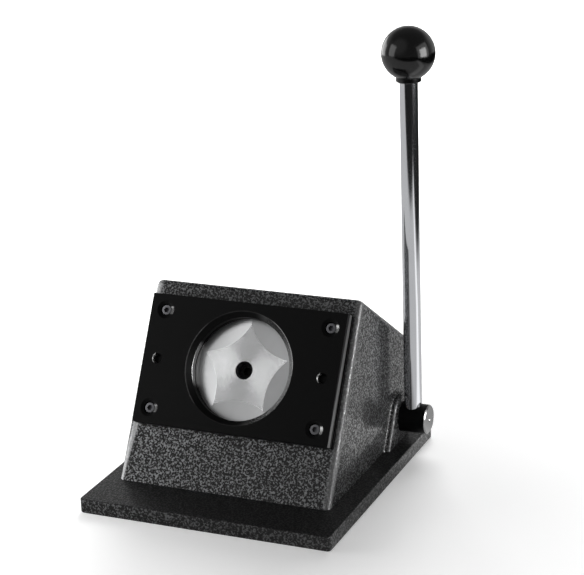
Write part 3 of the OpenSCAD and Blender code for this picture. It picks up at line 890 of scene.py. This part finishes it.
# %% Turned sets from the tree
def grow(name, mesh, tree, values, place):
    piece = bpy.data.objects.new(name, mesh)
    scene.collection.objects.link(piece)
    nodes = piece.modifiers.new(tree.name, "NODES")
    nodes.node_group = tree
    sockets = {s.name: s.identifier for s in tree.interface.items_tree if s.in_out == "INPUT"}
    for label, value in values.items():
        nodes[sockets[label]] = value
    settle(piece)
    piece.data.transform(place @ Matrix.Scale(1 / MM, 4))
    return piece


def turned_set(name, half_outline, place, finish, grid, key=None):
    mesh = bpy.data.meshes.new(name)
    points = [(r * MM, -z * MM, 0) for r, z in half_outline]
    mesh.from_pydata(points, [(i, i + 1) for i in range(len(points) - 1)], [])
    columns, rows, across, along = grid
    width, depth = key or (1, 1)
    values = {"Steps": 48, "Columns": columns, "Rows": rows, "Across": across * MM, "Along": along * MM}
    values.update({"Socket width": width * MM, "Socket depth": depth * MM})
    values.update({"Has socket": bool(key), "Finish": finish})
    piece = grow(name, mesh, turned_tree, values, place)
    bm = bmesh.new()
    bm.from_mesh(piece.data)
    bmesh.ops.recalc_face_normals(bm, faces=bm.faces[:])
    bm.to_mesh(piece.data)
    bm.free()
    shade(piece, even=False)
    return piece


def cap_screw(d, head, shank):
    top = [(0, 0), (head / 2, 0, 0.3), (head / 2, -d), (d / 2, -d)]
    return outline(*top, (d / 2, -d - shank, 0.4), (0, -d - shank))


four_corners = (2, 2, 2 * SCREW_X, 2 * SCREW_S)
corner_screw = cap_screw(3, 5.5, 12.05)
head_level = at_face(0, 0, 8.05)
plate_screws = turned_set("plate_screws", corner_screw, head_level, screw_black, four_corners, (2.6, 2.2))
hand_over(plate_screws, screw_black, "black_steel", "frame", "die_screws")

one_place = (1, 1, 0, 0)
middle_screw = cap_screw(5, 8.5, 16)
sunk_level = at_face(0, 0, -3.55)
centre_screw = turned_set("centre_screw", middle_screw, sunk_level, shaft_black, one_place, (4.11, 2.75))
hand_over(centre_screw, shaft_black, "black_steel", "punch", "punch_screw")

two_sides = (2, 1, 2 * SCREW_X, 0)
pin = outline((0, 0), (2.5, 0, 0.4), (2.5, -13.25, 0.4), (0, -13.25))
locating_pins = turned_set("locating_pins", pin, at_face(0, 0, 6.25), shaft_black, two_sides)
hand_over(locating_pins, shaft_black, "bright_steel", "frame", "dowel_pins")

four_below = (2, 2, 2 * UNDER_X, UNDER_Y[1] - UNDER_Y[0])
sunk_screw = outline((0, 0), (5.9, 0, 0.2), (2.98, -2.92), (2.98, -18.6, 0.4), (0, -18.6))
upside_down = UPRIGHT @ Matrix.Translation((0, sum(UNDER_Y) / 2, 0.4)) @ Matrix.Rotation(pi, 4, "X")
under_screws = turned_set("under_screws", sunk_screw, upside_down, screw_black, four_below, (3.22, 1.9))
hand_over(under_screws, screw_black, "black_steel", "frame", "base_screws")

# %% [markdown]
# The shaft is one turned bar through the whole machine. Its right end sticks out of the lug and takes the
# lever rod in a cross hole. The end is chamfered and still has the lathe's centre mark.

# %% Shaft
SHAFT_R = 8
GROOVE_R = 7.4
ROD_R = 4.8
THREAD_R = 4.2
SHAFT_START = -64.95
left_end = [(0, SHAFT_START), (SHAFT_R, SHAFT_START, 0.5)]
grooves = []
for start, end in ((-63.75, -62.55), (47.5, 48.7)):
    grooves += [(SHAFT_R, start), (GROOVE_R, start), (GROOVE_R, end), (SHAFT_R, end)]
right_end = [(SHAFT_R, 75.55, 0.2), (7.2, SHAFT_END, 0.2)]
centre_mark = [(1.5, SHAFT_END), (0.1, SHAFT_END - 1.5), (0, SHAFT_END - 1.5)]
shaft_outline = outline(*left_end, *grooves, *right_end, *centre_mark)
turning_shaft = turned_piece("turning_shaft", shaft_outline, ON_SHAFT)
pin_place = square_to_face(SHAFT) @ Matrix.Rotation(pi / 2, 4, "X")
cut(
    turning_shaft,
    rod_shape(ROD_R + 0.02, SHAFT.z + 5.5, SHAFT.z + 20, ON_ROD, 64),
    rod_shape(THREAD_R + 0.02, SHAFT.z - 20, SHAFT.z + 6, ON_ROD, 64),
    rod_shape(PIN_HOLE_R, -11, 12, pin_place, 48),
)
shade(turning_shaft)
hand_over(turning_shaft, shaft_black, "black_steel", "lever", "cam_shaft")

# %% [markdown]
# The lever is a plated rod with a thread at each end, screwed into the shaft below and into the ball above.
# The ball is one moulding with a short neck.

# %% Lever rod and ball
BALL_Z = 220.9
BALL_R = 14
NECK_R = 6.6
NECK_Z = 206.2
INSERT_R = 5.42
ROD_LOW = 13.3
ROD_SHOULDER = 25.8
ARC_STEPS = 48
lower_thread = [(0, ROD_LOW), (THREAD_R, ROD_LOW, 0.4), (THREAD_R, ROD_SHOULDER)]
bar = [(ROD_R, ROD_SHOULDER), (ROD_R, NECK_Z, 0.3)]
upper_thread = [(THREAD_R, NECK_Z), (THREAD_R, BALL_Z, 0.4), (0, BALL_Z)]
rod_outline = outline(*lower_thread, *bar, *upper_thread)
pull_rod = turned_piece("pull_rod", rod_outline, ON_ROD)
shade(pull_rod)
hand_over(pull_rod, rod_chrome, "chrome", "lever", "lever_rod")
ball_low = -acos((NECK_R + 0.3) / BALL_R)
ball_arc = []
for k in range(ARC_STEPS + 1):
    a = ball_low + (pi / 2 - ball_low) * k / ARC_STEPS
    ball_arc.append((BALL_R * cos(a) if k < ARC_STEPS else 0, BALL_Z + BALL_R * sin(a)))
neck_top = ball_arc[0][1] - 0.3
insert_hole = [(0, BALL_Z + 2), (INSERT_R, BALL_Z + 2), (INSERT_R, NECK_Z)]
neck = outline(*insert_hole, (NECK_R, NECK_Z, 0.5), (NECK_R, neck_top))
ball_grip = turned_piece("ball_grip", neck + ball_arc, ON_ROD, 128)
shade(ball_grip, 25)
hand_over(ball_grip, ball_black, "ball_plastic", "lever", "ball_knob")

# %% [markdown]
# The return spring pushes the ram back after a cut. It is a helix, so Geometry Nodes draw it: a spiral curve,
# swept with a round wire.


# %% Return spring
def spring_tree():
    inputs = {"Base": "Geometry", "Turns": "Float", "Radius": "Float", "Length": "Float", "Wire": "Float"}
    inputs["Finish"] = "Material"
    tree, given, add = new_tree("coil", inputs, "Coil")
    sizes = {"Rotations": "Turns", "Start Radius": "Radius", "End Radius": "Radius", "Height": "Length"}
    spiral = {"Resolution": 48} | {socket: given[label] for socket, label in sizes.items()}
    coil = add("GeometryNodeCurveSpiral", spiral)
    round_wire = add("GeometryNodeCurvePrimitiveCircle", {"Resolution": 16, "Radius": given["Wire"]})
    swept = {"Curve": coil, "Profile Curve": round_wire, "Fill Caps": True}
    end_tree(add, add("GeometryNodeCurveToMesh", swept), given["Finish"])
    return tree


SPRING_LOW = -61.21
SPRING_LEN = 20
coil_sizes = {"Turns": 5.0, "Radius": 10.9 * MM, "Length": (SPRING_LEN - 2.3) * MM, "Wire": 1.1 * MM}
coil_sizes["Finish"] = spring_wire
coil_place = at_face(0, 0, SPRING_LOW + 1.15)
coil_mesh = bpy.data.meshes.new("coil_spring")
coil_spring = grow("coil_spring", coil_mesh, spring_tree(), coil_sizes, coil_place)
shade(coil_spring, even=False)
hand_over(coil_spring, spring_wire, "spring_steel", "frame", "return_spring")
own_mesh(coil_spring)

# %% [markdown]
# Two thrust washers keep the shaft from sliding sideways. One of them shows on the left side of the machine,
# so both are turned again with soft edges.

# %% Thrust washers
WASHER_IN = 8.02
WASHER_OUT = 11
WASHER_T = 1
SOFT = 0.15
washers = bmesh.new()
for x in (-62.55, 48.7):
    corners = [(WASHER_IN, x), (WASHER_OUT, x), (WASHER_OUT, x + WASHER_T), (WASHER_IN, x + WASHER_T)]
    turned(outline(*[(r, z, SOFT) for r, z in corners]), ring=True, bm=washers)
thrust_rings = piece_of("thrust_rings", washers, ON_SHAFT)
shade(thrust_rings)
hand_over(thrust_rings, ground_steel, "bright_steel", "lever", "shaft_washers")

# %% [markdown]
# The remaining solids are plain plates, bars and rings that sit inside or behind the others. Their shapes are
# right as they are, so they stay and only get their finish.

# %% Finishes for the solids that stay
stay = {
    "guide_plate": (plate_black, "black_steel"),
    "spacer_left": (plate_black, "black_steel"),
    "spacer_right": (plate_black, "black_steel"),
    "ram": (ground_steel, "bright_steel"),
    "ram_bush": (bearing_bronze, "bronze"),
    "spring_collar": (ground_steel, "bright_steel"),
    "ram_clip": (screw_black, "black_steel"),
    "cam": (ground_steel, "bright_steel"),
    "cam_pin": (ground_steel, "bright_steel"),
    "bush_left": (bearing_bronze, "bronze"),
    "bush_right": (bearing_bronze, "bronze"),
    "shaft_clips": (screw_black, "black_steel"),
    "knob_insert": (insert_brass, "brass"),
}
for name, (finish, slot) in stay.items():
    solid[name].data.materials.clear()
    solid[name].data.materials.append(finish)
print(len(stay), "solids stay")

# %% [markdown]
# The part stands on a white table. A plain white one would look grey here, so it is white to the camera by a
# share of glow that grows away from the part, and keeps the shadow in the share that is lit. In mirrors it
# has another look: a drawn map of levels with a bright strip and dark edges, which gives the rod its stripes,
# and with a painted shade that darkens it near the part.


# %% Table
TO_CAMERA = (0.40, -0.916, 0)
TO_RIGHT = (0.92, 0.39, 0)


def ray_kinds(tree):
    rays = tree.nodes.new("ShaderNodeLightPath").outputs
    kinds = ("Camera", "Glossy", "Transmission")
    seen, glossy, through = (Wire(tree, rays[f"Is {kind} Ray"]) for kind in kinds)
    return seen, glossy + through


def white_table():
    table = bpy.data.materials.new("white_table")
    table.use_nodes = True
    tree = table.node_tree
    tree.nodes.clear()
    seen, mirrored = ray_kinds(tree)
    where = seen.make("TexCoord", out="Object")
    reach = where.vector("LENGTH", where, out="Value")
    edge = where.along(TO_CAMERA).between(0.43, 0.50).most(where.along(TO_RIGHT).between(0.38, 0.50))
    x, y = where.part("X"), where.part("Y")
    bend = (x - 0.31).most(0)
    off = (y - 0.055 + bend).size()
    strip = 1 - (off - 0.15 * x).between(0.0, 0.03)
    rear = where.along((0.38, 0.92, 0)).between(0.10, 0.18)
    lit = where.make("BsdfDiffuse", None, {"Color": grey(0.82)})
    glow = where.make("Emission", None, {"Strength": seen * (0.36 + 0.67 * reach.between(0.05, 0.5))})
    white = lit.make("AddShader", None, {0: lit, 1: glow})
    # painted shade: the mirrored levels are darker near the part
    level = (0.55 + 0.6 * strip + 0.05 * rear) * (0.35 + 0.65 * reach.between(0.06, 0.14))
    image = level.make("Emission", None, {"Strength": level * (1 - edge) + 0.015})
    mixed = white.make("MixShader", None, {0: mirrored, 1: white, 2: image})
    out = tree.nodes.new("ShaderNodeOutputMaterial")
    tree.links.new(mixed.socket, out.inputs["Surface"])
    return table


bm = bmesh.new()
bmesh.ops.create_grid(bm, x_segments=1, y_segments=1, size=1500)
table = piece_of("table", bm)
table.data.materials.append(white_table())
print("table is", table.dimensions.x, "m wide")

# %% [markdown]
# On the right stand three boxes, one behind the other: a dim one that lights, and two that show only in
# mirrors, so that the rod and the star can be bright while the wall stays dark. Two boxes on the left are
# seen in the punch and the ball. A small low fill from the front left lights the leaning face and shows in no
# mirror. A large box behind draws the soft shadow forward. The room on the camera's side is dark, which is
# why the ball and the plate look black.


# %% Lamps and air
MIDDLE = Vector((0, 0, 0.08))


def soft_box(name, offset, width, height, radiance, glossy=True, diffuse=True):
    data = bpy.data.lights.new(name, "AREA")
    data.shape = "RECTANGLE"
    data.size, data.size_y = width, height
    data.energy = radiance * pi * width * height
    lamp = bpy.data.objects.new(name, data)
    lamp.location = MIDDLE + Vector(offset)
    lamp.rotation_euler = (-Vector(offset)).to_track_quat("-Z", "Y").to_euler()
    lamp.visible_camera = False
    lamp.visible_glossy = glossy
    lamp.visible_diffuse = diffuse
    scene.collection.objects.link(lamp)


def studio_air():
    air = bpy.data.worlds.new("studio_air")
    air.use_nodes = True
    tree = air.node_tree
    tree.nodes.clear()
    seen, mirrored = ray_kinds(tree)
    way = seen.make("TexCoord", out="Generated")
    behind = way.along((-0.40, 0.916, 0)).between(0.0, 0.6)
    overhead = way.part("Z").between(0.3, 0.7)
    ceiling = way.along((-0.38, -0.73, 0.57)).between(0.75, 0.95)
    backdrop = behind * (1 - overhead)
    room = backdrop.blend(ceiling.blend(grey(0.16), grey(0.36)), grey(0.6))
    colour = seen.blend(mirrored.blend(grey(0.05), room), grey(1.0))
    sky = colour.make("Background", None, {"Color": colour, "Strength": 1.0})
    out = tree.nodes.new("ShaderNodeOutputWorld")
    tree.links.new(sky.socket, out.inputs["Surface"])
    return air


soft_box("right_box", (1.0, 0.0, 0.22), 1.0, 1.1, 0.13)
soft_box("right_glow", (0.99, 0.0, 0.22), 0.95, 1.0, 1.0, diffuse=False)
soft_box("right_core", (0.98, 0.0, 0.22), 0.5, 0.5, 7.0, diffuse=False)
soft_box("left_box", (-0.847, -0.593, 0.376), 0.6, 0.8, 1.9, diffuse=False)
soft_box("left_rear_box", (-1.0, 0.5, 0.1), 0.8, 0.7, 2.5)
soft_box("front_fill", (-0.25, -0.14, -0.01), 0.2, 0.12, 9.0, glossy=False)
soft_box("rear_box", (-0.2, 1.05, 0.75), 0.8, 0.8, 9.0, glossy=False)
scene.world = studio_air()
print(len(bpy.data.lights), "lamps")
